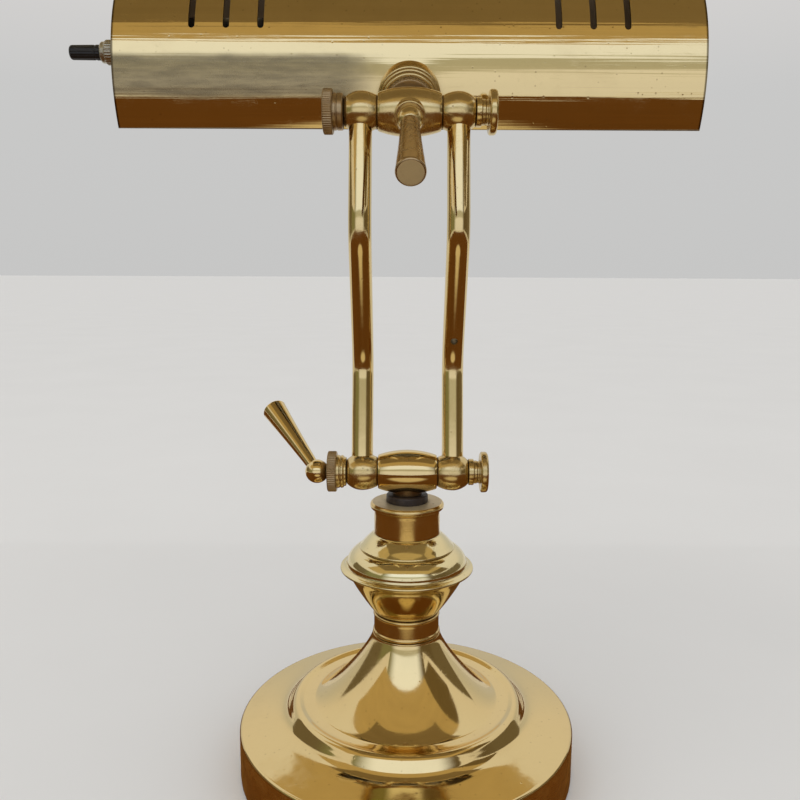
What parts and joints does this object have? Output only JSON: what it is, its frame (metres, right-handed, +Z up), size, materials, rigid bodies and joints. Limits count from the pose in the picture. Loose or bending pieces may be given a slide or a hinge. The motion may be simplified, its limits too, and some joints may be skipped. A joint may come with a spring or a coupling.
{
  "type": "desk lamp",
  "caption": "Brass desk lamp with a round weighted base, swing arms side by side, clamp levers, a half-round slotted trough shade and a rotary switch.",
  "frame": {"origin": "centre of the underside of the base, on the table", "axes": "+Z up, +X to the right as seen from the back of the lamp, +Y towards the side that the shade lights"},
  "size_m": [0.2744, 0.202, 0.3715],
  "materials": {
    "polished_brass": "polished",
    "aged_brass": "satin",
    "plated_steel": "satin",
    "cast_weight": "matte",
    "black_plastic": "satin",
    "felt": "matte",
    "lead_cover": "matte",
    "frosted_glass": "frosted"
  },
  "bodies": {
    "base": {"base_cover": "polished_brass", "base_weight": "cast_weight", "base_felt": "felt", "base_washer": "plated_steel", "base_nut": "aged_brass", "cord_bush": "black_plastic", "column_rod": "plated_steel", "column_lead": "lead_cover", "lower_collar": "polished_brass", "vase_bottom": "polished_brass", "vase_top": "polished_brass", "upper_collar": "polished_brass", "swivel_bushing": "black_plastic"},
    "lower_pivot": {"swivel_stud": "plated_steel", "swivel_clip": "plated_steel", "lower_barrel": "polished_brass", "lower_pivot_bolt": "aged_brass", "lower_knurled_washer": "aged_brass"},
    "lower_lever": {"lower_lever_ball": "polished_brass", "lower_lever_handle": "polished_brass"},
    "arms": {"left_arm": "polished_brass", "right_arm": "polished_brass", "lower_left_knuckle": "polished_brass", "lower_right_knuckle": "polished_brass", "upper_left_knuckle": "polished_brass", "upper_right_knuckle": "polished_brass", "arm_lead": "lead_cover", "upper_pivot_bolt": "aged_brass"},
    "thumb_nut": {"upper_thumb_nut": "aged_brass"},
    "upper_pivot": {"upper_barrel": "polished_brass", "neck_stud": "plated_steel", "neck_locknut": "plated_steel"},
    "neck_ring": {"neck_knurled_ring": "aged_brass"},
    "upper_lever": {"upper_lever_ball": "polished_brass", "upper_lever_handle": "polished_brass"},
    "shade": {"shade_shell": "polished_brass", "left_end_cap": "polished_brass", "right_end_cap": "polished_brass", "neck_flange": "polished_brass", "neck_inner_washer": "plated_steel", "holder_nipple": "plated_steel", "holder_nuts": "aged_brass", "lamp_holder": "black_plastic", "screw_shell": "aged_brass", "bulb_cap": "aged_brass", "bulb_glass": "frosted_glass", "switch_body": "black_plastic", "switch_washer": "aged_brass", "switch_nut": "aged_brass", "shade_lead": "lead_cover"},
    "switch_knob": {"switch_knob": "black_plastic"}
  },
  "joints": [
    {"name": "column_swivel", "type": "hinge", "parent": "base", "child": "lower_pivot", "pos_m": [0, 0, 0.1284], "axis": [0, 0, 1], "range_deg": [-170, 170]},
    {"name": "lower_clamp", "type": "hinge", "parent": "lower_pivot", "child": "lower_lever", "pos_m": [0, 0, 0.13827], "axis": [-1, 0, 0], "range_deg": [-90, 90]},
    {"name": "arm_tilt", "type": "hinge", "parent": "lower_pivot", "child": "arms", "pos_m": [0, 0, 0.13827], "axis": [-1, 0, 0], "range_deg": [-50, 55]},
    {"name": "thumb_nut_turn", "type": "hinge", "parent": "arms", "child": "thumb_nut", "pos_m": [0, -0.00539, 0.29022], "axis": [1, 0, 0], "continuous": true},
    {"name": "shade_tilt", "type": "hinge", "parent": "arms", "child": "upper_pivot", "pos_m": [0, -0.00539, 0.29022], "axis": [-1, 0, 0], "range_deg": [-60, 20]},
    {"name": "neck_ring_turn", "type": "hinge", "parent": "upper_pivot", "child": "neck_ring", "pos_m": [0, -0.00539, 0.29022], "axis": [0, 0.8829, 0.4695], "continuous": true},
    {"name": "upper_clamp", "type": "hinge", "parent": "upper_pivot", "child": "upper_lever", "pos_m": [0, -0.00539, 0.29022], "axis": [0, -0.9336, -0.3584], "range_deg": [-30, 30]},
    {"name": "shade_swivel", "type": "hinge", "parent": "upper_pivot", "child": "shade", "pos_m": [0, -0.00539, 0.29022], "axis": [0, 0.8829, 0.4695], "range_deg": [-90, 90]},
    {"name": "switch_turn", "type": "hinge", "parent": "shade", "child": "switch_knob", "pos_m": [-0.12, 0.02171, 0.31958], "axis": [1, 0, 0], "continuous": true}
  ]
}
